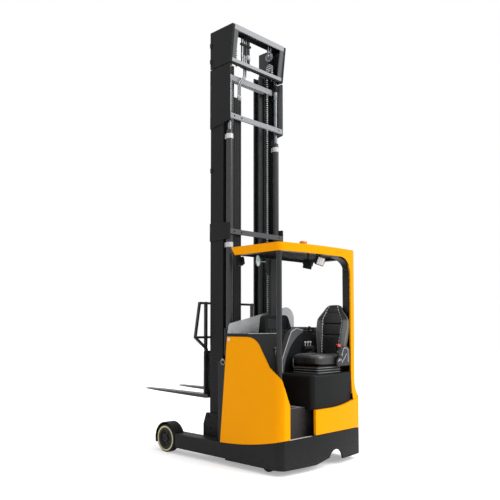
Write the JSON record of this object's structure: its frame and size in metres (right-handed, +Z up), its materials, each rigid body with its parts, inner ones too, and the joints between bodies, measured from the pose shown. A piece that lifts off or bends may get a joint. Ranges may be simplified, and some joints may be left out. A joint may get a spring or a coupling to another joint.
{
  "type": "reach truck",
  "caption": "Sit-down reach truck with straddle legs, sideways seat under an overhead guard, and a telescopic mast carrying forks.",
  "frame": {"origin": "centre of the overall box on the floor, forks raised and mast lowered as parked", "axes": "+X forward to the fork tips, +Y to the truck's left, +Z up"},
  "size_m": [2.605, 1.27, 4.65],
  "materials": {
    "yellow_paint": "gloss",
    "dark_paint": "satin",
    "mast_paint": "satin",
    "battery_case": "satin",
    "dark_plastic": "matte",
    "floor_mat": "matte",
    "screen": "clear",
    "seat_leather": "matte",
    "lamp_housing": "gloss",
    "amber": "gloss",
    "mirror_glass": "polished",
    "wheel_tread": "matte",
    "wheel_hub": "satin",
    "bright_steel": "satin",
    "chrome_rod": "polished",
    "hose_rubber": "matte"
  },
  "bodies": {
    "chassis": {"chassis_tub": "dark_paint", "legs": "dark_paint", "wheel_fenders": "dark_paint", "load_axles": "bright_steel", "left_panel": "yellow_paint", "right_panel": "yellow_paint", "rear_cover": "yellow_paint", "seat_box": "dark_plastic", "cab_floor": "floor_mat", "front_hood": "dark_plastic", "battery": "battery_case", "drive_bridge": "dark_paint", "reach_barrel": "dark_paint", "guard_roof": "yellow_paint", "guard_bars": "dark_paint", "guard_posts": "dark_paint", "windscreen": "screen", "display_console": "dark_plastic", "arm_console": "dark_plastic", "control_levers": "dark_plastic", "steering_wheel": "dark_plastic", "seat_base": "dark_plastic", "seat_cushion": "seat_leather", "seat_back": "seat_leather", "work_lamps": "lamp_housing", "beacon": "amber", "convex_mirror": "mirror_glass"},
    "left_load_wheel": {"left_load_tyre": "wheel_tread", "left_load_hub": "wheel_hub"},
    "right_load_wheel": {"right_load_tyre": "wheel_tread", "right_load_hub": "wheel_hub"},
    "drive_unit": {"drive_unit": "dark_paint"},
    "drive_wheel": {"drive_tyre": "wheel_tread", "drive_hub": "wheel_hub"},
    "caster_fork": {"caster_fork": "dark_paint"},
    "caster_wheels": {"caster_wheels": "wheel_tread"},
    "outer_mast": {"reach_carriage": "mast_paint", "reach_rollers": "bright_steel", "outer_rails": "mast_paint", "outer_ties": "mast_paint", "lift_barrels": "mast_paint"},
    "middle_mast": {"mid_rails": "mast_paint", "mid_head": "mast_paint", "lift_rods": "chrome_rod", "lift_chains": "bright_steel", "mast_pipes": "bright_steel", "mast_hoses": "hose_rubber"},
    "inner_mast": {"inner_rails": "mast_paint", "inner_ties": "mast_paint"},
    "lift_carriage": {"lift_carriage": "mast_paint"},
    "tilt_frame": {"tilt_frame": "mast_paint"},
    "fork_frame": {"shift_frame": "mast_paint", "backrest": "mast_paint", "forks": "mast_paint"}
  },
  "joints": [
    {"name": "left_load_spin", "type": "hinge", "parent": "chassis", "child": "left_load_wheel", "pos_m": [0.4675, 0.588, 0.15], "axis": [0, 1, 0], "continuous": true},
    {"name": "right_load_spin", "type": "hinge", "parent": "chassis", "child": "right_load_wheel", "pos_m": [0.4675, -0.588, 0.15], "axis": [0, 1, 0], "continuous": true},
    {"name": "drive_steer", "type": "hinge", "parent": "chassis", "child": "drive_unit", "pos_m": [-0.9025, -0.14, 0.36], "axis": [0, 0, 1], "range_deg": [-90, 90]},
    {"name": "drive_spin", "type": "hinge", "parent": "drive_unit", "child": "drive_wheel", "pos_m": [-0.9025, -0.14, 0.17], "axis": [0, 1, 0], "continuous": true},
    {"name": "caster_swivel", "type": "hinge", "parent": "chassis", "child": "caster_fork", "pos_m": [-1.0325, 0.485, 0.2], "axis": [0, 0, 1], "continuous": true},
    {"name": "caster_spin", "type": "hinge", "parent": "caster_fork", "child": "caster_wheels", "pos_m": [-0.9925, 0.485, 0.075], "axis": [0, 1, 0], "continuous": true},
    {"name": "mast_reach", "type": "slide", "parent": "chassis", "child": "outer_mast", "axis": [1, 0, 0], "range_m": [0, 0.55]},
    {"name": "middle_lift", "type": "slide", "parent": "outer_mast", "child": "middle_mast", "axis": [0, 0, 1], "range_m": [0, 3.2]},
    {"name": "inner_lift", "type": "slide", "parent": "middle_mast", "child": "inner_mast", "axis": [0, 0, 1], "range_m": [0, 3.2]},
    {"name": "carriage_lift", "type": "slide", "parent": "inner_mast", "child": "lift_carriage", "axis": [0, 0, 1], "range_m": [-0.57, 3.2]},
    {"name": "fork_tilt", "type": "hinge", "parent": "lift_carriage", "child": "tilt_frame", "pos_m": [0.0275, 0, 1.05], "axis": [0, -1, 0], "range_deg": [-2, 4]},
    {"name": "side_shift", "type": "slide", "parent": "tilt_frame", "child": "fork_frame", "axis": [0, 1, 0], "range_m": [-0.07, 0.07]}
  ],
  "couplings": [
    {"joint": "inner_lift", "follows": "middle_lift", "ratio": 1}
  ]
}
